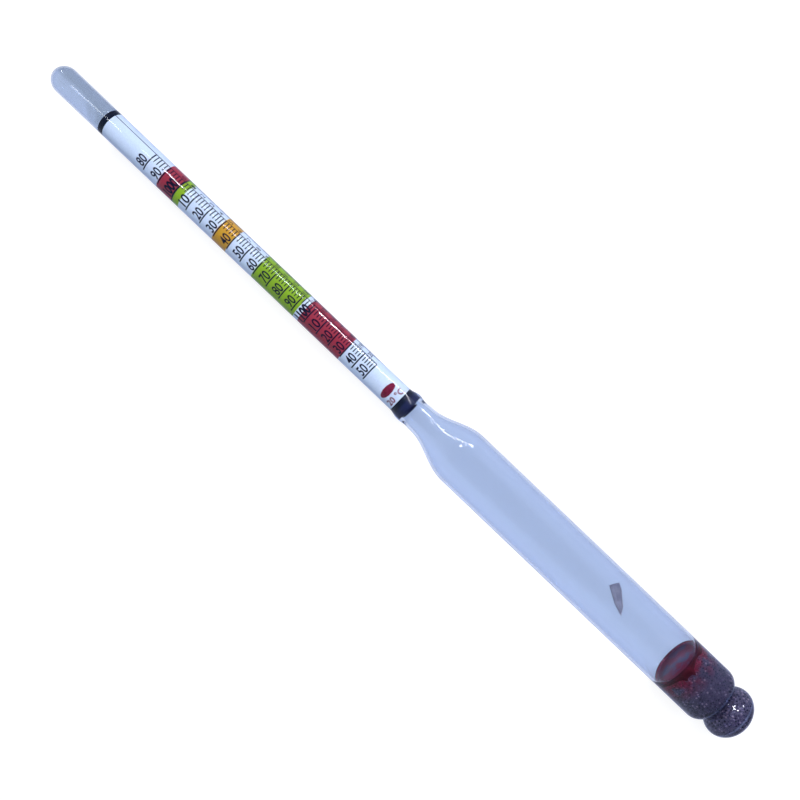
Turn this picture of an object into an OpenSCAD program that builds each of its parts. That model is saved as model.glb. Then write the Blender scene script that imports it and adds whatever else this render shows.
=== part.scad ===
// Triple-scale hydrometer for wine and beer: a sealed glass float with a narrow stem.
// It lies on its float body along X, with the stem's closed tip towards +X and +Z up.
// The origin is under the middle of its length, on the surface that it lies on.

/* [Overall] */
// Length from the end of the ballast bulb to the tip of the stem
total_length = 250; // [230:1:270]

/* [Stem] */
// Outside diameter of the stem tube
stem_d = 7.5; // [7:0.1:9]
// Wall thickness of the stem tube
stem_wall = 0.35; // [0.3:0.05:0.6]
// Height of the weld between float and stem, from the end of the bulb
weld_height = 125; // [123:0.5:128]
// How far the bead of fused glass stands out at the weld
bead_rise = 0.5; // [0.1:0.1:0.8]

/* [Float body] */
// Outside diameter of the float body
body_d = 16; // [15:0.5:20]
// Wall thickness of the float body
body_wall = 0.6; // [0.5:0.1:0.9]
// Height at which the straight body starts
body_start = 12.9; // [12.5:0.1:14]
// Height at which the straight body ends and the shoulder starts
body_end = 102; // [90:1:104]
// Height at which the shoulder has become the neck
neck_height = 117.2; // [112:0.1:118]
// Outside diameter of the neck above the shoulder
neck_d = 8.2; // [8:0.1:9]

/* [Ballast bulb] */
// Outside diameter of the ballast bulb
bulb_d = 14.4; // [13:0.1:14.8]
// Length of the full oval that the bulb is part of
bulb_length = 10.4; // [10:0.1:10.8]
// Glass thickness at the end of the bulb
bulb_end_wall = 1; // [0.6:0.1:1.4]
// Glass thickness round the side of the bulb
bulb_side_wall = 0.7; // [0.5:0.1:1]
// Outside diameter of the waist between bulb and body
waist_d = 9.2; // [8:0.1:10]
// Diameter of the passage through the waist
passage_d = 5.2; // [4:0.1:6]

/* [Scale paper] */
// Thickness of the paper
paper_thickness = 0.12; // [0.1:0.01:0.2]
// Clearance between the paper and the stem's bore
paper_gap = 0.06; // [0.04:0.01:0.1]
// Height at which the paper starts, above the lower band
paper_start = 124.6; // [123:0.1:126]
// Height at which the paper ends, below the upper band
paper_end = 229.3; // [180:0.1:235]
// Angle over which the rolled sheet overlaps itself
paper_overlap = 40; // [20:5:90]
// Width of the black band above the paper
upper_band_width = 1.7; // [1:0.1:4]
// Width of the black band below the paper
lower_band_width = 3.6; // [2:0.1:5]
// Thickness of both bands
band_thickness = 0.3; // [0.2:0.05:0.5]

/* [Ballast] */
// Height of the wax plug's underside
wax_start = 22; // [18:0.5:24]
// Height of the wax plug's rim, where it climbs the glass
wax_rim = 25.4; // [25:0.1:28]
// How far the middle of the wax has sunk below its rim
wax_dish = 0.9; // [0.2:0.1:1.2]

/* [Loose flake] */
// Height of the flake's end nearest the ballast
flake_start = 40.8; // [30:0.1:80]
// Thickness of the flake
flake_thickness = 0.2; // [0.1:0.05:0.4]

/* [Hidden] */

$fn = 96;
steps = 16;
// clearance that keeps what lies inside the glass off its wall
fill_gap = 0.05;
stem_r = stem_d / 2;
stem_bore_r = stem_r - stem_wall;
body_r = body_d / 2;
body_bore_r = body_r - body_wall;
neck_r = neck_d / 2;
neck_bore_r = stem_bore_r + 0.05;
waist_r = waist_d / 2;
passage_r = passage_d / 2;
bulb_r = bulb_d / 2;
bulb_half = bulb_length / 2;
tip_centre = total_length - stem_r;
paper_r = stem_bore_r - paper_gap;
// the bead's middle and half its width, measured down from the weld
bead_drop = 3.3;
bead_half = 2.8;
// thickness of the body's round bottom, and the height of its lowest outer point
bottom_wall = 0.8;
bottom_height = bulb_half + bulb_half * cos(asin(waist_r / bulb_r)) + 0.1;
// middle of the waist's passage, where the two heaps of shot meet
passage_middle = bottom_height + bottom_wall / 2;

// Fractions from 0 to 1
function parts_of_one(n) = [for (i = [0:n]) i / n];

// An oval round the axis, as [radius, height], from its lowest point up to radius end_r
function oval(centre, half, r, end_r) =
    let (last = 180 - asin(end_r / r))
    [for (u = parts_of_one(2 * steps)) [r * sin(last * u), centre - half * cos(last * u)]];

// A quarter oval that opens from radius r0 at height z0 to radius r1 at height z1
function corner(r0, z0, r1, z1) =
    [for (u = parts_of_one(steps)) [r0 + (r1 - r0) * sin(90 * u), z1 - (z1 - z0) * cos(90 * u)]];

// A smooth S from radius r0 at height z0 to radius r1 at height z1
function s_curve(r0, z0, r1, z1) =
    [for (u = parts_of_one(2 * steps)) [r0 + (r1 - r0) * (1 - cos(180 * u)) / 2, z0 + (z1 - z0) * u]];

// How far the bead stands out at height z
function bead(z) =
    let (off = abs(z - (weld_height - bead_drop)) / bead_half)
    off < 1 ? bead_rise * (1 + cos(180 * off)) / 2 : 0;

// The neck from the shoulder to the weld, with its bead
function bead_outline() =
    [for (u = parts_of_one(2 * steps))
        let (z = neck_height + (weld_height - neck_height) * u)
        [neck_r + (stem_r - neck_r) * u + bead(z), z]];

// Outside of the float: bulb, waist, body, shoulder, neck
function float_outside() = concat(
    oval(bulb_half, bulb_half, bulb_r, waist_r),
    corner(waist_r, bottom_height, body_r, body_start),
    s_curve(body_r, body_end, neck_r, neck_height),
    bead_outline()
);

// Inside of the bulb up to the passage, drawn in by gap
function bulb_inside(gap) = oval(
    bulb_half, bulb_half - bulb_end_wall - gap, bulb_r - bulb_side_wall - gap, passage_r - gap
);

// Inside of the body's round bottom, drawn in by gap
function bottom_inside(gap) = corner(
    passage_r - gap, bottom_height + bottom_wall + gap, body_bore_r - gap, body_start + gap
);

// Inside of the float, from the bulb to the weld
function float_inside() = concat(
    bulb_inside(0),
    bottom_inside(0),
    s_curve(body_bore_r, body_end, neck_bore_r, neck_height),
    [[stem_bore_r, weld_height]]
);

// Closes an outline along the axis
function closed(outline) = concat(outline, [[0, outline[len(outline) - 1][1]]]);

// Lays what stands on the end of its bulb down along X
module laid_down() {
    translate([-total_length / 2, 0, body_r]) rotate([0, 90, 0]) children();
}

// Turns a closed outline round the axis
module turned(outline) {
    rotate_extrude() polygon(closed(outline));
}

// A ring round the axis, from height z0 to height z1
module ring(outer_r, thickness, z0, z1) {
    translate([0, 0, z0]) linear_extrude(z1 - z0) difference() {
        circle(outer_r);
        circle(outer_r - thickness);
    }
}

// A tube with a half-round closed end
module closed_tube(r, z0) {
    translate([0, 0, z0]) cylinder(r = r, h = tip_centre - z0);
    translate([0, 0, tip_centre]) sphere(r);
}

// Narrow glass tube, closed round at its tip
module stem_tube() {
    color("lightsteelblue", 0.4) laid_down() difference() {
        closed_tube(stem_r, weld_height);
        // the bore runs past the open end, so that the end is cut clean
        closed_tube(stem_bore_r, weld_height - 1);
    }
}

// Blown glass float with its shoulder, waist and ballast bulb
module float_body() {
    color("lightsteelblue", 0.4) laid_down() rotate_extrude() difference() {
        polygon(closed(float_outside()));
        polygon(closed(float_inside()));
    }
}

// Printed paper rolled inside the stem, overlapping itself along one side
module scale_paper() {
    flap_r = paper_r - paper_thickness;
    color("white") laid_down() {
        ring(paper_r, paper_thickness, paper_start, paper_end);
        translate([0, 0, paper_start]) rotate([0, 0, -paper_overlap / 2])
            rotate_extrude(angle = paper_overlap)
                translate([flap_r - paper_thickness, 0])
                    square([paper_thickness, paper_end - paper_start]);
    }
}

// Black band that stops the paper at its top end
module upper_band() {
    color("black") laid_down()
        ring(paper_r, band_thickness, paper_end, paper_end + upper_band_width);
}

// Wider black band that stops the paper at the neck
module lower_band() {
    color("black") laid_down()
        ring(paper_r, band_thickness, paper_start - lower_band_width, paper_start);
}

// Red wax that seals the shot in, dished on top and climbing the glass
module wax_seal() {
    r = body_bore_r - fill_gap;
    dished = [for (u = parts_of_one(steps)) [r * u, wax_rim - wax_dish * (1 - pow(u, 4))]];
    color("darkred") laid_down() rotate_extrude()
        polygon(concat([[0, wax_start], [r, wax_start]], [for (i = [steps:-1:0]) dished[i]]));
}

// Steel shot in the bottom of the body, under the wax
module ballast_shot() {
    outline = concat(
        [[0, passage_middle], [passage_r - fill_gap, passage_middle]],
        bottom_inside(fill_gap),
        [[body_bore_r - fill_gap, wax_start]]
    );
    color("dimgray") laid_down() turned(outline);
}

// Steel shot that fills the bulb and its half of the passage
module bulb_shot() {
    outline = concat(bulb_inside(fill_gap), [[passage_r - fill_gap, passage_middle]]);
    color("dimgray") laid_down() turned(outline);
}

// Thin flake that lies loose on the inside of the body
module loose_flake() {
    outer_r = body_bore_r - fill_gap;
    // its corners, as [across, along], counted from its end nearest the ballast
    corners = [[1.4, 0], [-3.4, 3.2], [-5.4, 7.1], [-2.7, 8.2], [-0.2, 3.9]];
    color("slategray") laid_down() intersection() {
        ring(outer_r, flake_thickness, flake_start - 1, flake_start + 10);
        translate([0, 0, flake_start]) rotate([90, 0, 90]) linear_extrude(body_r) polygon(corners);
    }
}

stem_tube();
float_body();
scale_paper();
upper_band();
lower_band();
wax_seal();
ballast_shot();
bulb_shot();
loose_flake();
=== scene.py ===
"""Looks of a triple-scale glass hydrometer, built round its CAD frame.

The instrument lies along X with its stem's tip towards +X. Shapes are worked out in millimetres as
(height from the bulb's end, radius, angle), where angle 0 faces up (+Z) and grows towards +Y.
"""
import math
import random

import bmesh
import bpy
from mathutils import Matrix, Vector, noise


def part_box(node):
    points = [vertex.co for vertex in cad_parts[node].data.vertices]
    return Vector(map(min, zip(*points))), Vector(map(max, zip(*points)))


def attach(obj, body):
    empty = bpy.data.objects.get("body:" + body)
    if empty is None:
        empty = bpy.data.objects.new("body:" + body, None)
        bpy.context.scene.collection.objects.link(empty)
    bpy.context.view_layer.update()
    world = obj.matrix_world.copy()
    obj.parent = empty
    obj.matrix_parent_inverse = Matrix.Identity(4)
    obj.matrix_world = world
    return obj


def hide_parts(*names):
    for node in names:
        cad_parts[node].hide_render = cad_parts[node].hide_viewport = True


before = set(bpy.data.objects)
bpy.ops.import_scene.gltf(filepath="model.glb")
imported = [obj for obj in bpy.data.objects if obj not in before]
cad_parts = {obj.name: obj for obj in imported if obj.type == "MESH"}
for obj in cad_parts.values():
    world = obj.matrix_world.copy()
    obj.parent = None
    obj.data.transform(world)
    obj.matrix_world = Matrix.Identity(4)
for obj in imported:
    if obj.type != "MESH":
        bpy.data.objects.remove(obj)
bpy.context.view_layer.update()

MM = 0.001
TAU = 2 * math.pi
ROOT = "root"
random.seed(7)


# ---------------------------------------------------------------- places, from the frame

def heights(node):
    """Lowest and highest height of a CAD node, in mm from the bulb's end."""
    low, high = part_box(node)
    return (low[0] - END_X) / MM, (high[0] - END_X) / MM


def radius_of(node):
    """Outer radius of a round CAD node, in mm."""
    low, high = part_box(node)
    return (high[2] - low[2]) / 2 / MM


BODY_LOW, BODY_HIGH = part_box("float_body")
END_X = BODY_LOW[0]
AXIS_Z = (BODY_LOW[2] + BODY_HIGH[2]) / 2
BODY_R = radius_of("float_body")
STEM_R = radius_of("stem_tube")
WELD, TIP = heights("stem_tube")
PAPER_LOW, PAPER_HIGH = heights("scale_paper")
PAPER_R = radius_of("scale_paper")
BAND_LOW = heights("lower_band")[0]
BAND_HIGH = heights("upper_band")[1]
WAX_LOW = heights("wax_seal")[0]
WAX_R = radius_of("wax_seal")
SHOT_LOW = heights("ballast_shot")[0]

# ---------------------------------------------------------------- glass, as the CAD has it, in mm

STEM_WALL = 0.35
BODY_WALL = 0.6
BOTTOM_WALL = 0.8
BODY_START = 12.9
SHOULDER = 102.0
NECK = 117.2
NECK_R = 4.1
NECK_BORE_R = 3.45
WAIST_R = 4.6
PASSAGE_R = 2.6
BULB_R = 7.2
BULB_HALF = 5.2
BULB_END_WALL = 1.0
BULB_SIDE_WALL = 0.7
BEAD_AT = WELD - 3.3
BEAD_HALF = 2.8
BEAD_RISE = 0.5
STEM_BORE_R = STEM_R - STEM_WALL
BODY_BORE_R = BODY_R - BODY_WALL
BOTTOM = BULB_HALF + BULB_HALF * math.cos(math.asin(WAIST_R / BULB_R)) + 0.1
# the paper and bands lie flat against the glass: the bore is drawn in to just under their faces, by PRESS,
# and opens out again over CONTACT_RUN
PRESS = 0.02
CONTACT_BORE_R = PAPER_R - PRESS
CONTACT_RUN = 0.3
# the bore is drawn in further, by GRIP, round the shot and wax, and opens out over GRIP_RUN up to GRIP_END
GRIP = 0.4
GRIP_END = 24.3
GRIP_RUN = 0.4
# the lower band is a little smaller than the paper, so that the bead of glass over it shows at its sides
NECK_BAND_R = PAPER_R - 0.3
NECK_BAND_LOW = BAND_LOW + 0.05
# the bore stays straight for NECK_STRAIGHT at the neck, and widens from the lower band
# to the paper over NECK_RUN
NECK_RUN = 0.1
NECK_STRAIGHT = 0.8
# heights between which the waist's corners are softened
SOFT_LOW = 7.5
SOFT_HIGH = BODY_START - 1.5
# steps between rings along the body and along the stem's bore
RING_STEP = 1.5
BORE_RING_STEP = 1.0


def fractions(n):
    """Even steps from 0 to 1, both included."""
    return [i / n for i in range(n + 1)]


def oval(centre, half, r, end_r, n=40):
    """A bulb's outline as (height, radius), from its pole up to where it narrows to end_r."""
    last = math.pi - math.asin(end_r / r)
    return [(centre - half * math.cos(last * u), r * math.sin(last * u)) for u in fractions(n)]


def corner(h0, r0, h1, r1, n=16):
    """A quarter oval that opens from (h0, r0) to (h1, r1)."""
    return [
        (h1 - (h1 - h0) * math.cos(u * math.pi / 2), r0 + (r1 - r0) * math.sin(u * math.pi / 2))
        for u in fractions(n)
    ]


def s_curve(h0, r0, h1, r1, n=40):
    """A smooth S from (h0, r0) to (h1, r1)."""
    return [(h0 + (h1 - h0) * u, r0 + (r1 - r0) * (1 - math.cos(math.pi * u)) / 2) for u in fractions(n)]


def straight(h0, h1, r, step):
    """Rings of one radius, without the two ends."""
    n = max(2, round((h1 - h0) / step))
    return [(h0 + (h1 - h0) * i / n, r) for i in range(1, n)]


def bead(h):
    """How far the weld's bead stands out at height h."""
    off = abs(h - BEAD_AT) / BEAD_HALF
    return BEAD_RISE * (1 + math.cos(math.pi * off)) / 2 if off < 1 else 0.0


def neck_outside(n=60):
    """The outside from the neck up to the stem, with the weld's bead on it."""
    return [
        (NECK + (WELD - NECK) * u, NECK_R + (STEM_R - NECK_R) * u + bead(NECK + (WELD - NECK) * u))
        for u in fractions(n)
    ]


def softened(outline, low, high, passes):
    """Rounds the corners of an outline between two heights."""
    for _ in range(passes):
        moved = list(outline)
        for i in range(1, len(outline) - 1):
            if low < outline[i][0] < high:
                (ha, ra), (hb, rb), (hc, rc) = outline[i - 1:i + 2]
                moved[i] = ((ha + 2 * hb + hc) / 4, (ra + 2 * rb + rc) / 4)
        outline = moved
    return outline


def round_tip(r, n):
    """The stem's half-round end as (height, radius), up to its pole."""
    return list(reversed(oval(TIP - STEM_R, -r, r, r, n)))


def glass_outside():
    """The outer outline, from the bulb's end to the stem's tip."""
    outline = oval(BULB_HALF, BULB_HALF, BULB_R, WAIST_R)
    outline += corner(BOTTOM, WAIST_R, BODY_START, BODY_R)
    outline = softened(outline, SOFT_LOW, SOFT_HIGH, 6)
    outline += straight(BODY_START, SHOULDER, BODY_R, RING_STEP)
    outline += s_curve(SHOULDER, BODY_R, NECK, NECK_R)
    outline += neck_outside()[1:]
    outline += straight(WELD, TIP - STEM_R, STEM_R, RING_STEP)
    return outline + round_tip(STEM_R, 20)


def glass_inside():
    """The bore's outline. It is drawn in where something lies against the glass."""
    gripped_r = BODY_BORE_R - GRIP
    outline = oval(BULB_HALF, BULB_HALF - BULB_END_WALL - GRIP, BULB_R - BULB_SIDE_WALL - GRIP, PASSAGE_R)
    outline += corner(BOTTOM + BOTTOM_WALL + GRIP, PASSAGE_R, BODY_START, gripped_r)
    outline = softened(outline, SOFT_LOW, SOFT_HIGH, 3)
    outline += straight(BODY_START, GRIP_END - GRIP_RUN, gripped_r, RING_STEP)
    outline += [(GRIP_END - GRIP_RUN, gripped_r), (GRIP_END, BODY_BORE_R)]
    outline += straight(GRIP_END, SHOULDER, BODY_BORE_R, RING_STEP)
    outline += s_curve(SHOULDER, BODY_BORE_R, NECK, NECK_BORE_R)

    band_r = NECK_BAND_R - PRESS
    band_start, band_end = NECK_BAND_LOW - PRESS, PAPER_LOW - NECK_RUN
    outline += s_curve(NECK + NECK_STRAIGHT, NECK_BORE_R, band_start, band_r)
    outline += straight(band_start, band_end, band_r, BORE_RING_STEP)

    paper_start, paper_end = PAPER_LOW - PRESS, BAND_HIGH + PRESS
    outline += [(band_end, band_r), (paper_start, CONTACT_BORE_R)]
    outline += straight(paper_start, paper_end, CONTACT_BORE_R, BORE_RING_STEP)

    open_start = BAND_HIGH + CONTACT_RUN
    outline += [(paper_end, CONTACT_BORE_R), (open_start, STEM_BORE_R)]
    outline += straight(open_start, TIP - STEM_R, STEM_BORE_R, BORE_RING_STEP)
    return outline + round_tip(STEM_BORE_R, 16)


# ---------------------------------------------------------------- mesh helpers

def spot(h, r, angle):
    """The point at a height, radius and angle, in the shared frame."""
    return Vector((END_X + h * MM, r * MM * math.sin(angle), AXIS_Z + r * MM * math.cos(angle)))


def around(h, angle, scale, seed=0.0):
    """Smooth noise that has no seam round the axis."""
    return noise.noise(Vector((h * scale, math.sin(angle) + seed, math.cos(angle) - seed)))


def lathe(mesh, outline, segments=96, shape=None, closed=False, inward=False):
    """Turns an outline round the axis into a bmesh. A radius of 0 is a pole.

    shape(h, r, angle) may move each point. closed joins the last ring to the first, and inward turns the
    faces to look at the axis.
    """
    rings = []
    for h, r in outline:
        if r < 1e-6:
            rings.append([mesh.verts.new(spot(h, 0, 0))])
            continue
        ring = []
        for k in range(segments):
            angle = TAU * k / segments
            hh, rr = shape(h, r, angle) if shape else (h, r)
            ring.append(mesh.verts.new(spot(hh, rr, angle)))
        rings.append(ring)
    pairs = list(zip(rings, rings[1:])) + ([(rings[-1], rings[0])] if closed else [])
    for low, high in pairs:
        for k in range(segments):
            nxt = (k + 1) % segments
            if len(low) == 1:
                face = [low[0], high[k], high[nxt]]
            elif len(high) == 1:
                face = [low[nxt], low[k], high[0]]
            else:
                face = [low[nxt], low[k], high[k], high[nxt]]
            mesh.faces.new(list(reversed(face)) if inward else face)


def skin(mesh, loops):
    """Makes a solid from equal loops of vertices, each joined to the next, with its two ends closed."""
    faces = [loops[0], list(reversed(loops[-1]))]
    for a, b in zip(loops, loops[1:]):
        n = len(a)
        faces += [[a[k], b[k], b[(k + 1) % n], a[(k + 1) % n]] for k in range(n)]
    made = [mesh.faces.new(face) for face in faces]
    bmesh.ops.recalc_face_normals(mesh, faces=made)


def finished(mesh, name, material, replaces=(), smooth=True):
    """Makes a bmesh into a piece that rides on the root body."""
    data = bpy.data.meshes.new(name)
    mesh.to_mesh(data)
    mesh.free()
    data.materials.append(material)
    for polygon in data.polygons:
        polygon.use_smooth = smooth
    piece = bpy.data.objects.new(name, data)
    bpy.context.scene.collection.objects.link(piece)
    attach(piece, ROOT)
    if replaces:
        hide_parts(*replaces)
    return piece


# ---------------------------------------------------------------- material helpers

def new_material(name):
    """A material with a Principled node, its node tree and that node."""
    material = bpy.data.materials.new(name)
    material.use_nodes = True
    tree = material.node_tree
    return material, tree, tree.nodes["Principled BSDF"]


def add_node(tree, kind, **settings):
    """A new node with its settings."""
    node = tree.nodes.new(kind)
    for key, value in settings.items():
        setattr(node, key, value)
    return node


def object_coords(tree):
    """The place of the point shaded, in metres. Pieces are built in place, so this is the shared frame."""
    return add_node(tree, "ShaderNodeTexCoord").outputs["Object"]


def noise_value(tree, scale, detail=4.0, roughness=0.5):
    """A noise output between 0 and 1. scale is in waves per metre."""
    node = add_node(tree, "ShaderNodeTexNoise")
    node.inputs["Scale"].default_value = scale
    node.inputs["Detail"].default_value = detail
    node.inputs["Roughness"].default_value = roughness
    tree.links.new(object_coords(tree), node.inputs["Vector"])
    return node.outputs["Fac"]


def ramp(tree, value, stops, constant=False):
    """A colour output: stops are (place, (r, g, b))."""
    node = add_node(tree, "ShaderNodeValToRGB")
    node.color_ramp.interpolation = "CONSTANT" if constant else "LINEAR"
    elements = node.color_ramp.elements
    while len(elements) < len(stops):
        elements.new(0.5)
    for element, (place, colour) in zip(elements, stops):
        element.position = place
        element.color = (*colour, 1)
    tree.links.new(value, node.inputs["Fac"])
    return node.outputs["Color"]


def span(tree, value, low, high):
    """value mapped so that low gives 0 and high gives 1, clamped."""
    node = add_node(tree, "ShaderNodeMapRange")
    node.inputs["From Min"].default_value = low
    node.inputs["From Max"].default_value = high
    tree.links.new(value, node.inputs["Value"])
    return node.outputs["Result"]


# places of the Mix node's sockets for colours
MIX_FACTOR, MIX_A, MIX_B, MIX_RESULT = 0, 6, 7, 2


def mixed(tree, factor, a, b, blend="MIX"):
    """A colour output between a and b, each an output or a colour. factor is an output or a number."""
    node = add_node(tree, "ShaderNodeMix", data_type="RGBA", blend_type=blend)
    for index, value in ((MIX_FACTOR, factor), (MIX_A, a), (MIX_B, b)):
        if isinstance(value, tuple):
            node.inputs[index].default_value = (*value, 1)
        elif isinstance(value, float):
            node.inputs[index].default_value = value
        else:
            tree.links.new(value, node.inputs[index])
    return node.outputs[MIX_RESULT]


def multiplied(tree, a, b):
    """Two colours multiplied."""
    return mixed(tree, 1.0, a, b, "MULTIPLY")


def maths(tree, operation, *values):
    """A Math node's output. Each value is an output or a number."""
    node = add_node(tree, "ShaderNodeMath", operation=operation)
    for socket, value in zip(node.inputs, values):
        if isinstance(value, (int, float)):
            socket.default_value = value
        else:
            tree.links.new(value, socket)
    return node.outputs[0]


def split_xyz(tree, value):
    """The X, Y and Z outputs of a vector."""
    node = add_node(tree, "ShaderNodeSeparateXYZ")
    tree.links.new(value, node.inputs[0])
    return node.outputs


def along_x(tree):
    """The X of the point shaded, in metres."""
    return split_xyz(tree, object_coords(tree))["X"]


def x_of(h):
    """The X of a height, in metres."""
    return END_X + h * MM


def bump(tree, shader, height, strength, distance):
    """Roughens a shader's surface by a height output. distance is in metres."""
    node = add_node(tree, "ShaderNodeBump")
    node.inputs["Strength"].default_value = strength
    node.inputs["Distance"].default_value = distance
    tree.links.new(height, node.inputs["Height"])
    tree.links.new(node.outputs["Normal"], shader.inputs["Normal"])


# ---------------------------------------------------------------- materials

GLASS_IOR = 1.33
# how the glass is tinted, with painted shade in it, from faces that look at the eye (0) to faces seen edge
# on (1):
# the middle is painted a little darker for the floor's shadow under the body, and the edges darker still as
# painted shade
GLASS_TINTS_AND_SHADE = (
    (0.0, (0.64, 0.707, 0.838)),
    (0.04, (0.645, 0.712, 0.842)),
    (0.13, (0.684, 0.752, 0.888)),
    (0.30, (0.66, 0.728, 0.873)),
    (0.55, (0.61, 0.68, 0.845)),
    (0.8, (0.465, 0.535, 0.74)),
    (0.95, (0.33, 0.39, 0.585)),
)
GLASS_DEPTH_TINT = (0.05, 0.32, 0.82)
GLASS_DENSITY = 75.0
# the tip's painted shade, darker on its -Y side: the shade's edge runs across the glass at the start height
# and bends away over the bend length given next
TIP_SHADE = (0.80, 0.81, 0.80)
TIP_SHADE_START = 240.0
TIP_SHADE_BEND = 6.0
TIP_SHADE_ACROSS = 3.8
TIP_SHADE_SIDE = -0.6
TIP_SHADE_SOFT = 0.7
TIP_SHADE_RUN = 0.2


def smoke_amount(tree):
    """How much painted shade darkens the glass above the upper band: all over next to it, then only on the
    -Y side.
    """
    place = split_xyz(tree, object_coords(tree))
    bend = span(tree, place["X"], x_of(TIP_SHADE_START), x_of(TIP_SHADE_START - TIP_SHADE_BEND))
    squared = maths(tree, "MULTIPLY", bend, bend)
    edge = maths(tree, "MULTIPLY_ADD", squared, TIP_SHADE_ACROSS * MM, TIP_SHADE_SIDE * MM)
    side = maths(tree, "SUBTRACT", edge, place["Y"])
    dark = span(tree, side, -TIP_SHADE_SOFT * MM, TIP_SHADE_SOFT * MM)
    # the lighter side keeps a quarter of the painted shade
    base = span(tree, dark, -0.35, 1.0)
    past_band = span(tree, place["X"], x_of(BAND_HIGH - TIP_SHADE_RUN), x_of(BAND_HIGH + TIP_SHADE_RUN))
    return maths(tree, "MULTIPLY", base, past_band)


def glass_material():
    """Pale blue glass: it tints by each face and by its depth, and lets lamps through to what is inside.

    The tinting by face also paints shade, darker in the middle and at the edges, and the tip is painted
    darker on its -Y side.
    """
    material, tree, shader = new_material("tinted_shaded_glass")
    facing = add_node(tree, "ShaderNodeLayerWeight")
    tint_and_shade = ramp(tree, facing.outputs["Facing"], GLASS_TINTS_AND_SHADE)
    # painted shade: the glass above the upper band is darkened, most on its -Y side
    tip_shaded = multiplied(tree, tint_and_shade, mixed(tree, smoke_amount(tree), (1.0, 1.0, 1.0), TIP_SHADE))
    tree.links.new(tip_shaded, shader.inputs["Base Color"])
    shader.inputs["Transmission Weight"].default_value = 1.0
    shader.inputs["Roughness"].default_value = 0.03
    shader.inputs["IOR"].default_value = GLASS_IOR
    bump(tree, shader, noise_value(tree, 60.0, 1.0), 0.02, 0.0004)
    output = tree.nodes["Material Output"]
    depth = add_node(tree, "ShaderNodeVolumeAbsorption")
    depth.inputs["Color"].default_value = (*GLASS_DEPTH_TINT, 1)
    depth.inputs["Density"].default_value = GLASS_DENSITY
    tree.links.new(depth.outputs[0], output.inputs["Volume"])
    clear = add_node(tree, "ShaderNodeBsdfTransparent")
    clear.inputs["Color"].default_value = (0.97, 0.98, 1.0, 1)
    either = add_node(tree, "ShaderNodeMixShader")
    lamp_ray = add_node(tree, "ShaderNodeLightPath").outputs["Is Shadow Ray"]
    tree.links.new(lamp_ray, either.inputs[0])
    tree.links.new(shader.outputs[0], either.inputs[1])
    tree.links.new(clear.outputs[0], either.inputs[2])
    tree.links.new(either.outputs[0], output.inputs["Surface"])
    return material


# density scale: the mark for 1.000 + n / 100 lies n steps down the stem, and the steps shrink evenly
MARK_1000 = 204.27
STEP = 5.0604
SHRINK = 0.0309


def mark_height(density):
    """Height of a density's mark, in mm from the bulb's end."""
    n = (density - 1) * 100
    return MARK_1000 - STEP * n + SHRINK * n * n


WHITE = (0.78, 0.87, 0.97)
RED = (0.39, 0.026, 0.050)
PLUM = (0.03, 0.01, 0.035)
GREEN = (0.29, 0.49, 0.012)
ORANGE = (0.72, 0.36, 0.02)
# where each colour starts, from the ballast end up
ZONES = (
    (1.130, RED), (1.0965, WHITE), (1.0925, GREEN), (1.060, WHITE), (1.040, ORANGE),
    (1.030, WHITE), (1.0048, GREEN), (1.001, PLUM), (1.000, RED), (0.990, WHITE),
)


def paper_material():
    """White paper with the coloured zones printed all round it."""
    material, tree, shader = new_material("printed_paper")
    place = span(tree, along_x(tree), x_of(PAPER_LOW), x_of(PAPER_HIGH))
    stops = [(0.0, WHITE)]
    for density, colour in ZONES:
        stops.append(((mark_height(density) - PAPER_LOW) / (PAPER_HIGH - PAPER_LOW), colour))
    printed = ramp(tree, place, stops, constant=True)
    fibre = ramp(tree, noise_value(tree, 2500.0), [(0.3, (0.9, 0.9, 0.92)), (0.7, (1, 1, 1))])
    tree.links.new(multiplied(tree, printed, fibre), shader.inputs["Base Color"])
    shader.inputs["Roughness"].default_value = 0.7
    bump(tree, shader, noise_value(tree, 3000.0), 0.2, 0.00003)
    return material


def ink_material(name, colour):
    """Dull printing ink, a little uneven."""
    material, tree, shader = new_material(name)
    lighter = tuple(min(1.0, c * 1.6 + 0.01) for c in colour)
    tone = ramp(tree, noise_value(tree, 1800.0), [(0.35, colour), (0.75, lighter)])
    tree.links.new(tone, shader.inputs["Base Color"])
    shader.inputs["Specular IOR Level"].default_value = 0.1
    shader.inputs["Roughness"].default_value = 0.55
    return material


# painted light on the lower band, fine lighter navy rings for the light caught by the weld's rippled glass
# over it:
# their pitch, the height where they stop, and how gently they do
LIT_RING_PITCH = 0.42
LIT_RINGS_END = 123.2
LIT_RINGS_RUN = 0.5


def band_material():
    """Black film, with painted light near the lower band's end: fine navy rings for the light caught by the
    weld's rippled glass.
    """
    material, tree, shader = new_material("black_band")
    blacks = [(0.3, (0.004, 0.006, 0.016)), (0.8, (0.012, 0.018, 0.036))]
    tone = ramp(tree, noise_value(tree, 900.0), blacks)
    # painted light: lighter navy rings, for the light caught by the weld's rippled glass over the band
    wave = maths(tree, "SINE", maths(tree, "MULTIPLY", along_x(tree), TAU / (LIT_RING_PITCH * MM)))
    ring = span(tree, wave, 0.2, 0.9)
    lit_rings_reach = span(tree, along_x(tree), x_of(LIT_RINGS_END), x_of(LIT_RINGS_END - LIT_RINGS_RUN))
    share = maths(tree, "MULTIPLY", ring, lit_rings_reach)
    tree.links.new(mixed(tree, share, tone, (0.045, 0.055, 0.17)), shader.inputs["Base Color"])
    shader.inputs["Roughness"].default_value = 0.45
    shader.inputs["Specular IOR Level"].default_value = 0.1
    bump(tree, shader, noise_value(tree, 2200.0), 0.25, 0.00005)
    return material


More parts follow.
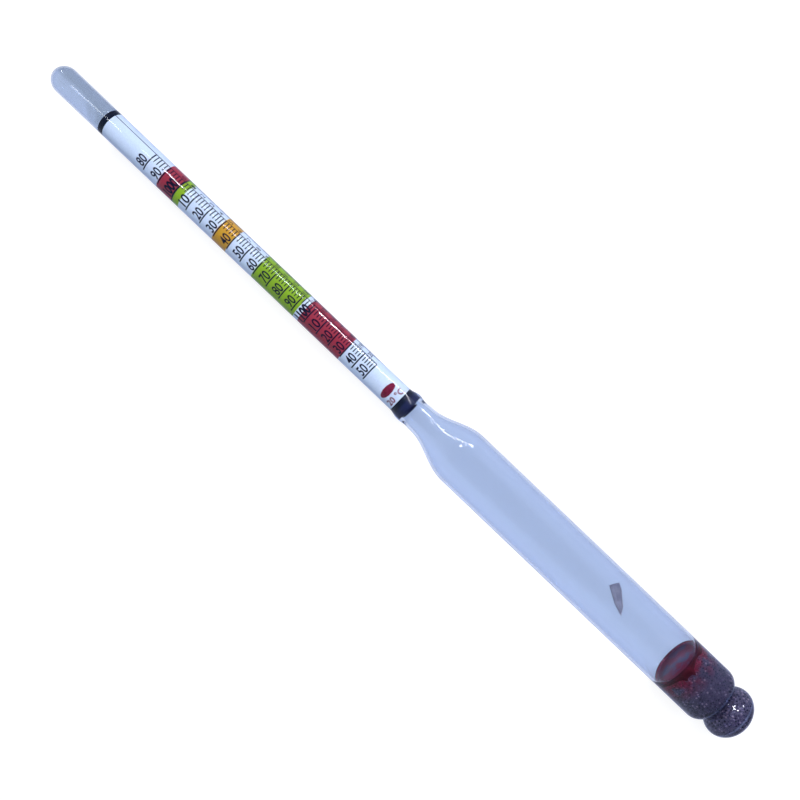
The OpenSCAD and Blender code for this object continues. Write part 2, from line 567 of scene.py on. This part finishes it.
def from_axis(tree):
    """Distance of the point shaded from the instrument's axis, in metres."""
    place = split_xyz(tree, object_coords(tree))
    up = maths(tree, "SUBTRACT", place["Z"], AXIS_Z)
    squares = maths(tree, "ADD", maths(tree, "POWER", up, 2), maths(tree, "POWER", place["Y"], 2))
    return maths(tree, "SQRT", squares)


# the wax's colour, from the axis (0) out to the glass (1)
WAX_RINGS = (
    (0.0, (0.13, 0.105, 0.15)),
    (0.84, (0.12, 0.085, 0.125)),
    (0.93, (0.14, 0.05, 0.08)),
    (0.96, (0.24, 0.035, 0.06)),
    (0.98, (0.24, 0.022, 0.04)),
    (0.992, (0.065, 0.005, 0.012)),
)


def wax_material():
    """Dark red wax: purple grey in its dish, redder round the rim and darkest against the glass."""
    material, tree, shader = new_material("red_wax")
    place = span(tree, from_axis(tree), 0.0, WAX_R * MM)
    rings = ramp(tree, place, WAX_RINGS)
    mottle = noise_value(tree, 420.0, 5.0, 0.6)
    patches = ramp(tree, mottle, [(0.3, (0.45, 0.42, 0.42)), (0.7, (1.3, 1.2, 1.2))])
    tree.links.new(multiplied(tree, rings, patches), shader.inputs["Base Color"])
    shader.inputs["Roughness"].default_value = 0.5
    shader.inputs["Specular IOR Level"].default_value = 0.2
    bump(tree, shader, noise_value(tree, 700.0), 0.35, 0.0002)
    return material


# heights between which the wax's red stain fades out, down among the shot
STAIN_END = 17.0
STAIN_START = 22.0
# painted highlights on the shot: heights where its grains are painted pale because the glass over them
# catches the light, and half their widths
PALE_RINGS = ((10.75, 0.4), (3.7, 0.4))
PALE = (0.26, 0.27, 0.42)
PALE_SHARE = 0.7
# the grains' greys, from the darkest grain (0) to the palest (1); the palest grains are painted glints
SHOT_GREYS_AND_GLINTS = (
    (0.0, (0.022, 0.019, 0.040)),
    (0.5, (0.068, 0.058, 0.108)),
    (0.85, (0.15, 0.12, 0.19)),
    (1.0, (0.34, 0.25, 0.34)),
)


def shot_material():
    """Steel shot: each grain has its own grey, or its own red where wax has run among them. Its palest
    greys and its pale rings are painted highlights.
    """
    material, tree, shader = new_material("steel_shot_with_painted_light")
    island = add_node(tree, "ShaderNodeNewGeometry").outputs["Random Per Island"]
    grey = ramp(tree, island, SHOT_GREYS_AND_GLINTS)
    red = ramp(tree, island, [(0.0, (0.06, 0.005, 0.015)), (1.0, (0.30, 0.03, 0.07))])
    # painted highlights: pale rings on the grains where the glass over them catches the light
    for place, half in PALE_RINGS:
        off = maths(tree, "ABSOLUTE", maths(tree, "SUBTRACT", along_x(tree), x_of(place)))
        share = span(tree, off, half * MM, half * 0.4 * MM)
        grey = mixed(tree, maths(tree, "MULTIPLY", share, PALE_SHARE), grey, PALE)
    near = span(tree, along_x(tree), x_of(STAIN_END), x_of(STAIN_START))
    patch = span(tree, noise_value(tree, 300.0, 2.0), 0.38, 0.52)
    stain = maths(tree, "MULTIPLY", near, patch)
    tree.links.new(mixed(tree, stain, grey, red), shader.inputs["Base Color"])
    shader.inputs["Metallic"].default_value = 0.4
    shader.inputs["Roughness"].default_value = 0.38
    return material


def flake_material():
    """A dull pale grey chip."""
    material, tree, shader = new_material("flake")
    tone = ramp(tree, noise_value(tree, 500.0), [(0.3, (0.30, 0.28, 0.34)), (0.75, (0.46, 0.43, 0.48))])
    tree.links.new(tone, shader.inputs["Base Color"])
    shader.inputs["Roughness"].default_value = 0.4
    return material


GLASS = glass_material()
PAPER = paper_material()
INK = ink_material("dark_ink", (0.005, 0.005, 0.022))
RED_INK = ink_material("red_ink", (0.16, 0.008, 0.03))
BAND = band_material()
WAX = wax_material()
SHOT = shot_material()
FLAKE = flake_material()


# ---------------------------------------------------------------- glass

# the worked glass at the weld: where it is, how high its ripples stand, and how far apart they are
RIPPLE_LOW = 118.5
RIPPLE_HIGH = 124.5
RIPPLE_RISE = 0.012
RIPPLE_PITCH = 0.95
LUMP_RISE = 0.12
# the slight wave along the tubes. It only ever narrows them, so that the glass stays within the CAD's size
WAVE_DEPTH = 0.012


def in_ripples(h):
    """1 in the middle of the worked glass at the weld, falling to 0 at its ends."""
    if not RIPPLE_LOW < h < RIPPLE_HIGH:
        return 0.0
    return math.sin(math.pi * (h - RIPPLE_LOW) / (RIPPLE_HIGH - RIPPLE_LOW))


def outer_shape(h, r, angle):
    """Hand-worked glass: ripples at the weld, and a slight wave along the tubes."""
    ripple = RIPPLE_RISE * math.sin(h * TAU / RIPPLE_PITCH + 2.5 * around(h, angle, 0.2, 3.0))
    lump = LUMP_RISE * around(h, angle, 0.35, 1.0)
    wave = WAVE_DEPTH * (around(h, angle, 0.04, 5.0) - 1)
    return h, r + in_ripples(h) * (ripple + lump) + wave * min(1.0, r / 2)


def make_glass():
    """The whole closed envelope as one shell with an outer and an inner face."""
    mesh = bmesh.new()
    lathe(mesh, glass_outside(), 160, outer_shape)
    lathe(mesh, glass_inside(), 96, inward=True)
    return finished(mesh, "glass_envelope", GLASS, ("stem_tube", "float_body"))


# ---------------------------------------------------------------- paper and print

PAPER_T = 0.12
# the roll starts at SEAM round the stem. Its last part, OVERLAP long, slips under its start by TIGHTEN
SEAM = math.radians(160)
OVERLAP = math.radians(40)
TIGHTEN = 0.14
PAPER_STEPS = 200
# the print's thickness, and how far it stands off the paper
INK_T = 0.012
INK_LIFT = 0.004
# the longest flat run of a printed bar and of a figure, in mm round the paper
BAR_BEND = 0.4
FIGURE_BEND = 0.35


def paper_outer(turned):
    """Outer radius of the rolled paper, by how far it has turned: its last part slips under its start."""
    ease = min(1.0, max(0.0, (turned - (TAU - OVERLAP)) / OVERLAP))
    return PAPER_R - TIGHTEN * (1 - math.cos(math.pi * ease)) / 2


def block_loop(mesh, low, high, inner, outer, angle):
    """Four vertices round the section of a curved sheet, between two heights and two radii."""
    corners = ((low, inner), (high, inner), (high, outer), (low, outer))
    return [mesh.verts.new(spot(h, r, angle)) for h, r in corners]


def make_paper():
    """The printed sheet, rolled a little more than once round."""
    mesh = bmesh.new()
    loops = []
    for u in fractions(PAPER_STEPS):
        angle = (TAU + OVERLAP) * u
        outer = paper_outer(angle)
        loops.append(block_loop(mesh, PAPER_LOW, PAPER_HIGH, outer - PAPER_T, outer, SEAM + angle))
    skin(mesh, loops)
    return finished(mesh, "rolled_paper", PAPER, ("scale_paper",), smooth=False)


def bar(mesh, h0, h1, a0, a1):
    """A printed bar between two heights and two places along the paper's girth, in mm from its front."""
    low = PAPER_R + INK_LIFT
    steps = max(1, math.ceil(abs(a1 - a0) / BAR_BEND))
    places = [(a0 + (a1 - a0) * u) / PAPER_R for u in fractions(steps)]
    skin(mesh, [block_loop(mesh, h0, h1, low, low + INK_T, angle) for angle in places])


def line(mesh, h, thick, a0, a1):
    """A printed line across the stem, centred on a height."""
    bar(mesh, h - thick / 2, h + thick / 2, a0, a1)


# height of a figure in the built-in font at size 1, and how much the strokes are thickened there
FONT_CAP = 0.70
BOLD = 0.02
# corners of a figure closer than this are joined, in mm
SAME_PLACE = 1e-4


def figures(mesh, text, base, left, height, width, bold=BOLD):
    """Prints text with its feet at height base, from left (mm along the girth) for a width towards -Y."""
    curve = bpy.data.curves.new("figures", "FONT")
    curve.body = text
    curve.size = height / FONT_CAP
    curve.extrude = INK_T / 2
    curve.offset = bold * curve.size
    curve.resolution_u = 3
    holder = bpy.data.objects.new("figures", curve)
    bpy.context.scene.collection.objects.link(holder)
    data = bpy.data.meshes.new_from_object(holder)
    bpy.data.objects.remove(holder)
    bpy.data.curves.remove(curve)
    flat = bmesh.new()
    flat.from_mesh(data)
    bpy.data.meshes.remove(data)
    bmesh.ops.remove_doubles(flat, verts=flat.verts, dist=SAME_PLACE)
    first = min(v.co.x for v in flat.verts)
    squeeze = width / (max(v.co.x for v in flat.verts) - first)
    for i in range(1, int(width / FIGURE_BEND) + 1):
        geom = list(flat.verts) + list(flat.edges) + list(flat.faces)
        cut = (first + i * FIGURE_BEND / squeeze, 0, 0)
        bmesh.ops.bisect_plane(flat, geom=geom, plane_co=cut, plane_no=(1, 0, 0))
    places = {}
    for v in flat.verts:
        angle = (left - (v.co.x - first) * squeeze) / PAPER_R
        r = PAPER_R + INK_LIFT + INK_T / 2 + v.co.z
        places[v] = mesh.verts.new(spot(base + v.co.y, r, angle))
    made = [mesh.faces.new([places[v] for v in f.verts]) for f in flat.faces]
    bmesh.ops.recalc_face_normals(mesh, faces=made)
    flat.free()


# the density scale. Places across it are in mm along the paper's girth from the front, towards +Y
THIN = 0.30
LINE = 0.38
BORDER = 0.22
BORDER_AT = -2.48
SHORT_END = -0.42
LONG_END = 3.15
FIGURE_LEFT = 2.5
FIGURE_WIDE = 2.5
FIGURE_H = 2.7
FIGURE_LIFT = 0.42
# figures in full, at 1.000 and 1.100
WHOLE_LEFT = 3.5
WHOLE_WIDE = 4.4
WHOLE_LIFT = 0.45
WHOLE_BOLD = 0.05
# the two side scales: where the figures start, how many marks there are, and the step between them
SIDE_SCALES = ((-3.0, 20, 3.35), (9.4, 17, 3.88))
SIDE_H = 1.5
SIDE_WIDE = SIDE_H * 0.42
SIDE_LIFT = 0.3
SIDE_BOLD = 0.015
# the side scales' border, and how far their marks reach beyond it, in mm from the figures
SIDE_BORDER = 1.6
SIDE_LONG = 1.0
SIDE_SHORT = 0.6


def density_scale(mesh):
    """Marks from 0.980 to 1.150: a long one with figures each 0.010, and short ones each 0.002."""
    for i in range(-20, 151, 2):
        h = mark_height(1 + i / 1000)
        if i % 10:
            line(mesh, h, THIN, BORDER_AT, SHORT_END)
            continue
        line(mesh, h, LINE, BORDER_AT, LONG_END)
        if i % 100 == 0:
            figures(mesh, str(1000 + i), h + WHOLE_LIFT, WHOLE_LEFT, FIGURE_H, WHOLE_WIDE, WHOLE_BOLD)
        else:
            figures(mesh, f"{i % 100:02d}", h + FIGURE_LIFT, FIGURE_LEFT, FIGURE_H, FIGURE_WIDE)
    bar(mesh, mark_height(1.15), PAPER_HIGH, BORDER_AT - BORDER, BORDER_AT)


def side_scale(mesh, left, count, step):
    """A second scale on the side: figures from 0 up, each with a long mark, and a short mark between."""
    border = left - SIDE_BORDER
    for i in range(count + 1):
        h = MARK_1000 - i * step
        label = str(i)
        figures(mesh, label, h + SIDE_LIFT, left, SIDE_H, len(label) * SIDE_WIDE, SIDE_BOLD)
        line(mesh, h, THIN, border - SIDE_LONG, border)
        line(mesh, h - step / 2, THIN, border - SIDE_SHORT, border)
    bar(mesh, MARK_1000 - (count + 0.5) * step, MARK_1000, border, border + BORDER)


def make_print():
    """All the dark print on the paper."""
    mesh = bmesh.new()
    density_scale(mesh)
    for left, count, step in SIDE_SCALES:
        side_scale(mesh, left, count, step)
    return finished(mesh, "printed_marks", INK, smooth=False)


# the red figures: how far they stand above the paper's end, and where they start
NOTE_LIFT = 0.5
NOTE_LEFT = 3.3
NOTE_H = 1.7
NOTE_WIDE = 5.6
# the plain oval over them, printed in rows
OVAL_LIFT = 2.8
OVAL_ACROSS = 0.65
OVAL_HALF = 2.7
OVAL_H = 2.2
OVAL_ROWS = 14


def make_calibration_mark():
    """The temperature that the scale holds at, in red, with a plain oval over it."""
    mesh = bmesh.new()
    figures(mesh, "20 °C", PAPER_LOW + NOTE_LIFT, NOTE_LEFT, NOTE_H, NOTE_WIDE)
    edges = [PAPER_LOW + OVAL_LIFT + OVAL_H * u for u in fractions(OVAL_ROWS)]
    for i, (low, high) in enumerate(zip(edges, edges[1:])):
        off = (i + 0.5) / OVAL_ROWS * 2 - 1
        half = OVAL_HALF * math.sqrt(1 - off ** 2)
        bar(mesh, low, high, OVAL_ACROSS - half, OVAL_ACROSS + half)
    return finished(mesh, "calibration_mark", RED_INK, smooth=False)


# ---------------------------------------------------------------- bands

BAND_T = 0.3
BAND_SOFT = 0.05
BAND_UNEVEN = 0.06


def make_band(name, node, low, high, outer):
    """A black band with slightly soft edges, a little uneven along them."""
    inner, soft = outer - BAND_T, BAND_SOFT
    outline = [
        (low, inner + soft), (low, outer - soft), (low + soft, outer), (high - soft, outer),
        (high, outer - soft), (high, inner + soft), (high - soft, inner), (low + soft, inner),
    ]

    def uneven(h, r, angle):
        edge = 1 if h > (low + high) / 2 else -1
        return h - edge * BAND_UNEVEN * abs(around(h, angle * 2, 0.5, 2.0)), r

    mesh = bmesh.new()
    lathe(mesh, outline, 96, uneven, closed=True)
    bmesh.ops.recalc_face_normals(mesh, faces=mesh.faces)
    return finished(mesh, name, BAND, (node,))


# ---------------------------------------------------------------- wax

# the dished top: its depth, the height of its rim, and how far the rim leans and wanders
WAX_DISH = 1.3
RIM = 24.45
RIM_LIP = 0.3
RIM_TILT = 0.35
RIM_WANDER = 0.1
TOP_LUMPS = 0.12
# the film of wax on the glass: where it ends, its thickness, and how far that edge wanders and sags
FILM_LOW = 23.75
FILM = 0.4
FILM_WANDER = 0.3
FILM_SAG = 0.35
WAX_BASE = WAX_LOW + 0.2
# runs of wax among the shot: place round the glass, half width, and length
DRIPS = (
    (-0.02, 0.62, 1.3), (-0.15, 0.10, 1.1), (0.2, 0.12, 0.7), (-0.95, 0.22, 0.5),
    (1.7, 0.30, 1.2), (2.6, 0.2, 1.8), (3.6, 0.3, 1.2), (4.6, 0.24, 1.6),
)


def wax_edge(angle):
    """Height at which the wax film on the glass ends, with runs down among the shot."""
    low = FILM_LOW + FILM_WANDER * around(0, angle, 1.5, 9.0)
    low -= FILM_SAG * (1 - math.cos(angle * 2)) / 2
    for at, width, depth in DRIPS:
        off = abs((angle - at + math.pi) % TAU - math.pi) / width
        if off < 1:
            low -= depth * (1 + math.cos(math.pi * off)) / 2
    return low


def make_wax():
    """The plug: a dished top, a rim that climbs the glass unevenly, and a film with runs below it."""
    mesh = bmesh.new()
    film_r = WAX_R - FILM
    film_edge, film_back = (FILM_LOW, WAX_R), (FILM_LOW, film_r)
    outline = [(RIM - WAX_DISH * (1 - u ** 5), WAX_R * u) for u in fractions(24)]
    outline += [(RIM - RIM_LIP, WAX_R), film_edge, film_back]
    outline += [(WAX_BASE, film_r), (WAX_BASE, WAX_R / 2), (WAX_BASE, 0)]

    def shape(h, r, angle):
        if (h, r) in (film_edge, film_back):
            return wax_edge(angle), r
        if h > FILM_LOW:
            lean = RIM_TILT * math.cos(angle) + RIM_WANDER * around(0, angle, 1.5, 4.0)
            lumps = TOP_LUMPS * around(h + r, angle, 0.6, 6.0) * min(1.0, r)
            return h + lean * (r / WAX_R) ** 3 + lumps, r
        return h, r

    lathe(mesh, outline, 160, shape)
    bmesh.ops.recalc_face_normals(mesh, faces=mesh.faces)
    return finished(mesh, "wax_plug", WAX, ("wax_seal",))


# ---------------------------------------------------------------- shot

GRAIN_R = 0.33
GRAIN_GAP = 0.03
GRAIN_SPACING = GRAIN_R * 1.75
# the dark core stands off the glass by a little less than the bore is drawn in
CORE_INSET = GRIP - 0.03
CORE_LEAST_R = 0.05
# how many darts are thrown for the grains of each chamber
BODY_TRIES = 60000
BULB_TRIES = 45000


def grain(mesh, centre, r):
    """One grain of shot: a small, slightly uneven ball."""
    turn = Matrix.Rotation(random.uniform(0, TAU), 4, Vector((random.random(), random.random(), 1)))
    flat = Matrix.Diagonal((1, random.uniform(0.82, 1.0), random.uniform(0.85, 1.1), 1))
    place = Matrix.Translation(centre) @ turn @ flat
    bmesh.ops.create_icosphere(mesh, subdivisions=1, radius=r * MM, matrix=place)


def wall_places(outline, spacing, tries):
    """Evenly spread places on a turned wall, as (height, radius, angle), by throwing darts."""
    lengths = []
    for (ha, ra), (hb, rb) in zip(outline, outline[1:]):
        lengths.append(math.hypot(hb - ha, rb - ra) * (ra + rb) / 2)
    total = sum(lengths)
    cells, chosen = {}, []
    for _ in range(tries):
        pick = random.uniform(0, total)
        k = 0
        while k < len(lengths) - 1 and pick > lengths[k]:
            pick -= lengths[k]
            k += 1
        u = random.random()
        h = outline[k][0] + (outline[k + 1][0] - outline[k][0]) * u
        r = outline[k][1] + (outline[k + 1][1] - outline[k][1]) * u
        angle = random.uniform(0, TAU)
        p = (h, r * math.sin(angle), r * math.cos(angle))
        cell = tuple(int(c // spacing) for c in p)
        near = (
            q
            for dx in (-1, 0, 1) for dy in (-1, 0, 1) for dz in (-1, 0, 1)
            for q in cells.get((cell[0] + dx, cell[1] + dy, cell[2] + dz), ())
        )
        if all(math.dist(p, q) >= spacing for q in near):
            cells.setdefault(cell, []).append(p)
            chosen.append((h, r, angle))
    return chosen


def drawn_in(outline, by):
    """An outline moved towards the inside of its chamber by a distance."""
    moved = []
    for i, (h, r) in enumerate(outline):
        ha, ra = outline[max(0, i - 1)]
        hb, rb = outline[min(len(outline) - 1, i + 1)]
        length = math.hypot(hb - ha, rb - ra) or 1.0
        moved.append((h + (rb - ra) / length * by, max(0.0, r - (hb - ha) / length * by)))
    return moved


def make_shot(name, node, wall, tries):
    """A heap of shot: grains that touch the glass over a dark core."""
    mesh = bmesh.new()
    layer = drawn_in(wall, GRAIN_R + GRAIN_GAP)
    for h, r, angle in wall_places(layer, GRAIN_SPACING, tries):
        grain(mesh, spot(h, r, angle), GRAIN_R * random.uniform(0.85, 1.0))
    core = [(h, r) for h, r in drawn_in(wall, CORE_INSET) if r > CORE_LEAST_R]
    lathe(mesh, [(core[0][0], 0.0)] + core + [(core[-1][0], 0.0)], 48)
    bmesh.ops.recalc_face_normals(mesh, faces=mesh.faces)
    return finished(mesh, name, SHOT, (node,))


def chamber_wall():
    """The inside of the body's bottom, from the waist up to the wax, as (height, radius)."""
    wall = [(SHOT_LOW, PASSAGE_R)]
    wall += corner(BOTTOM + BOTTOM_WALL, PASSAGE_R, BODY_START, BODY_BORE_R)
    wall += straight(BODY_START, FILM_LOW, BODY_BORE_R, 1.0)
    return wall + [(FILM_LOW, BODY_BORE_R)]


def bulb_wall():
    """The inside of the bulb, from its end up to the waist, as (height, radius)."""
    wall = oval(BULB_HALF, BULB_HALF - BULB_END_WALL, BULB_R - BULB_SIDE_WALL, PASSAGE_R)
    return wall + [(SHOT_LOW, PASSAGE_R)]


# ---------------------------------------------------------------- flake

# the chip's two long edges: height, and place across the body in mm
FLAKE_NEAR = ((48.6, -2.7), (46.4, -1.4), (44.0, 0.0), (41.8, 0.8), (40.4, 1.3))
FLAKE_FAR = ((47.7, -5.6), (45.9, -4.6), (43.7, -2.7), (41.8, -1.1), (40.5, 1.1))
# its outer face lies just off the glass
FLAKE_R = BODY_BORE_R - 0.12
FLAKE_T = 0.2
# places across the chip, from its near edge (0) to its far one (1): out along its outer face, and back
# along its inner one
FLAKE_FACES = ((FLAKE_R, (0.0, 0.35, 0.7, 1.0)), (FLAKE_R - FLAKE_T, (0.96, 0.7, 0.35, 0.04)))


def make_flake():
    """A thin chip that lies on the wall under the axis, curved with it."""
    mesh = bmesh.new()
    loops = []
    for (h0, y0), (h1, y1) in zip(FLAKE_NEAR, FLAKE_FAR):
        loop = []
        for r, places in FLAKE_FACES:
            for u in places:
                angle = math.pi - (y0 + (y1 - y0) * u) / r
                loop.append(mesh.verts.new(spot(h0 + (h1 - h0) * u, r, angle)))
        loops.append(loop)
    skin(mesh, loops)
    return finished(mesh, "loose_chip", FLAKE, ("loose_flake",), smooth=False)


# ---------------------------------------------------------------- build the object

make_glass()
make_paper()
make_print()
make_calibration_mark()
make_band("top_band", "upper_band", PAPER_HIGH, BAND_HIGH, PAPER_R)
make_band("neck_band", "lower_band", NECK_BAND_LOW, PAPER_LOW, NECK_BAND_R)
make_wax()
make_shot("body_shot", "ballast_shot", chamber_wall(), BODY_TRIES)
make_shot("bulb_grains", "bulb_shot", bulb_wall(), BULB_TRIES)
make_flake()


# ---------------------------------------------------------------- floor, light, camera

FLOOR_SIZE = 30.0
FLOOR_GLOW = 0.87


def make_floor():
    """A plain light table: its glow makes it white, keeps shadows faint and shines through the glass.

    The glass doesn't mirror it, because that would draw pale lines along the edges of what lies inside.
    """
    bpy.ops.mesh.primitive_plane_add(size=FLOOR_SIZE)
    floor = bpy.context.object
    floor.name = "floor"
    material, tree, shader = new_material("floor")
    tone = ramp(tree, noise_value(tree, 3.0), [(0.0, (0.20, 0.205, 0.21)), (1.0, (0.215, 0.22, 0.225))])
    tree.links.new(tone, shader.inputs["Base Color"])
    shader.inputs["Roughness"].default_value = 0.8
    shader.inputs["Specular IOR Level"].default_value = 0.0
    shader.inputs["Emission Color"].default_value = (1, 1, 1, 1)
    shader.inputs["Emission Strength"].default_value = FLOOR_GLOW
    floor.data.materials.append(material)
    floor.visible_glossy = False


# the room's colour from its -Y side (0) to its +Y side (1), what is left of it overhead, and its colour
# below the horizon
ROOM_SIDES = ((0.0, (0.30, 0.34, 0.50)), (0.5, (0.16, 0.17, 0.26)), (1.0, (0.75, 0.85, 1.0)))
ROOM_OVERHEAD = (0.35, 0.35, 0.35)
ROOM_LOW = (0.85, 0.93, 1.3)
ROOM_STRENGTH = 0.7


def make_world():
    """A soft dim room, brighter on the +Y side and pale below, for the glass to reflect."""
    world = bpy.data.worlds.new("room")
    bpy.context.scene.world = world
    world.use_nodes = True
    tree = world.node_tree
    background = tree.nodes["Background"]
    way = split_xyz(tree, add_node(tree, "ShaderNodeTexCoord").outputs["Generated"])
    sides = ramp(tree, span(tree, way["Y"], -1.0, 1.0), ROOM_SIDES)
    overhead = mixed(tree, span(tree, way["Z"], 0.3, 0.9), (1.0, 1.0, 1.0), ROOM_OVERHEAD)
    low = span(tree, way["Z"], -0.1, -0.7)
    room = mixed(tree, low, multiplied(tree, sides, overhead), ROOM_LOW)
    tree.links.new(room, background.inputs["Color"])
    background.inputs["Strength"].default_value = ROOM_STRENGTH


def add_lamp(name, at, towards, size, size_y, watts):
    """A rectangular lamp, its first side along the instrument as far as it can be."""
    data = bpy.data.lights.new(name, "AREA")
    data.shape = "RECTANGLE"
    data.size, data.size_y = size, size_y
    data.energy = watts
    lamp = bpy.data.objects.new(name, data)
    lamp.location = at
    back = (Vector(at) - Vector(towards)).normalized()
    along = (Vector((1, 0, 0)) - back * back.x).normalized()
    lamp.rotation_euler = Matrix((along, back.cross(along), back)).transposed().to_euler()
    bpy.context.scene.collection.objects.link(lamp)
    return lamp


# the camera, straight above the middle apart from what lines it up with the photograph
CAMERA_AT = Vector((-0.0005, 0.00016, AXIS_Z + 0.2189))
CAMERA_TURN = math.radians(180 + 43.6)
SENSOR = 36.0
LENS = SENSOR * 830 / 800

# the lamps for the glints: how far they stand above the glass, the least rise of the ray to them, their
# brightness, their width by their distance, and how widely they shine
DASH_H = 0.5
LEAST_RISE = 0.25
GLINT = 60.0
GLINT_W = 0.24
STEM_SPREAD = math.radians(13)
SPOT_SPREAD = math.radians(6)
SPOT_BRIGHT = 1.3
SPOT_LEAST_WIDE = 0.06
# lamps larger than this are for the bulb, and spread as widely as the stem's
BULB_SPOT = 0.1
OUTLINE = glass_outside()
# glints on the stem: the heights each runs between, angle in degrees, and brightness
GLINTS = (
    (242.5, 236.5, -2, 0.15), (236.5, 231.3, -4, 0.15), (230.9, 229.2, -5, 0.3), (229.0, 225.0, -6, 0.3),
    (217.6, 213.4, -11, 0.2), (209.8, 203.6, -14, 1.2), (203.4, 199.5, -16, 0.3), (198.8, 195.0, -17, 0.3),
    (194.5, 191.0, -18, 0.4), (189.5, 182.5, -20, 0.4), (181.5, 177.5, -21, 0.4), (176.0, 172.0, -22, 0.3),
    (171.6, 161.3, -25, 0.6), (155.5, 152.8, -30, 1.8), (151.6, 149.4, -30, 1.8),
    (146.6, 144.8, -30, 1.8), (143.5, 139.0, -31, 0.2), (125.2, 123.8, -31, 0.8),
)
# glints on the shoulder and the bulb, where the glass curves both ways: height, angle, and size of the lamp
SPOT_GLINTS = (
    (115.7, -33, 0.02), (114.9, -31, 0.03), (114.1, -29, 0.03), (113.2, -26, 0.03), (112.3, -24, 0.03),
    (111.3, -22, 0.02), (108.9, -18, 0.03), (107.9, -20, 0.03), (106.9, -23, 0.03), (105.8, -25, 0.03),
    (104.7, -28, 0.02), (8.1, -19, 0.20), (7.6, -14, 0.30), (7.1, -17, 0.16),
)


def outer_wall(h):
    """Radius of the glass at a height, and the slope of its wall there."""
    for (ha, ra), (hb, rb) in zip(OUTLINE, OUTLINE[1:]):
        if ha <= h <= hb and hb > ha:
            return ra + (rb - ra) * (h - ha) / (hb - ha), (ra - rb) / (hb - ha)
    return STEM_R, 0.0


def mirror_spot(h, angle):
    """A place on the glass, and where a lamp stands for it to be mirrored there to the camera."""
    r, slope = outer_wall(h)
    place = spot(h, r, angle)
    out = Vector((slope, math.sin(angle), math.cos(angle))).normalized()
    view = (CAMERA_AT - place).normalized()
    away = 2 * out.dot(view) * out - view
    return place, place + away * (DASH_H / max(LEAST_RISE, away.z))


def add_glint(name, place, at, long, wide, spread, bright):
    """One small lamp seen only as a reflection. Its brightness doesn't change with its size or spread."""
    half = spread / 2
    share = (math.tan(half) - half) / math.tan(half)
    watts = GLINT * bright * math.pi * long * wide * share
    lamp = add_lamp(name, at, place, long, wide, watts)
    lamp.data.spread = spread
    lamp.visible_diffuse = False


def add_glints():
    """The broken bright line along the stem and shoulder, and the glints on the bulb."""
    for i, (high, low, degrees, bright) in enumerate(GLINTS):
        angle = math.radians(degrees)
        ends = [mirror_spot(h, angle)[1] for h in (high, low)]
        place, at = mirror_spot((high + low) / 2, angle)
        wide = GLINT_W * (at - place).length
        add_glint(f"glint_{i}", place, at, (ends[0] - ends[1]).length, wide, STEM_SPREAD, bright)
    for i, (h, degrees, size) in enumerate(SPOT_GLINTS):
        place, at = mirror_spot(h, math.radians(degrees))
        spread = STEM_SPREAD if size > BULB_SPOT else SPOT_SPREAD
        add_glint(f"spot_glint_{i}", place, at, size, max(size, SPOT_LEAST_WIDE), spread, SPOT_BRIGHT)


KEY_AT = (0.25, -0.45, 1.2)
KEY_SIZE = 0.9
KEY_WATTS = 19.0


def add_key():
    """One broad soft lamp overhead, which lights the print and the shot but isn't mirrored in the glass."""
    key = add_lamp("key", KEY_AT, (0, 0, 0), KEY_SIZE, KEY_SIZE, KEY_WATTS)
    key.visible_glossy = False
    key.visible_transmission = False


def make_camera():
    """Straight above the middle, turned so that the stem points up to the left."""
    data = bpy.data.cameras.new("camera")
    data.sensor_width = SENSOR
    data.lens = LENS
    data.clip_start = 0.01
    camera = bpy.data.objects.new("camera", data)
    camera.location = CAMERA_AT
    camera.rotation_euler = (0.0, 0.0, CAMERA_TURN)
    bpy.context.scene.collection.objects.link(camera)
    bpy.context.scene.camera = camera


make_floor()
make_world()
add_key()
add_glints()
make_camera()

view = bpy.context.scene.view_settings
view.view_transform = "Standard"
view.look = "None"
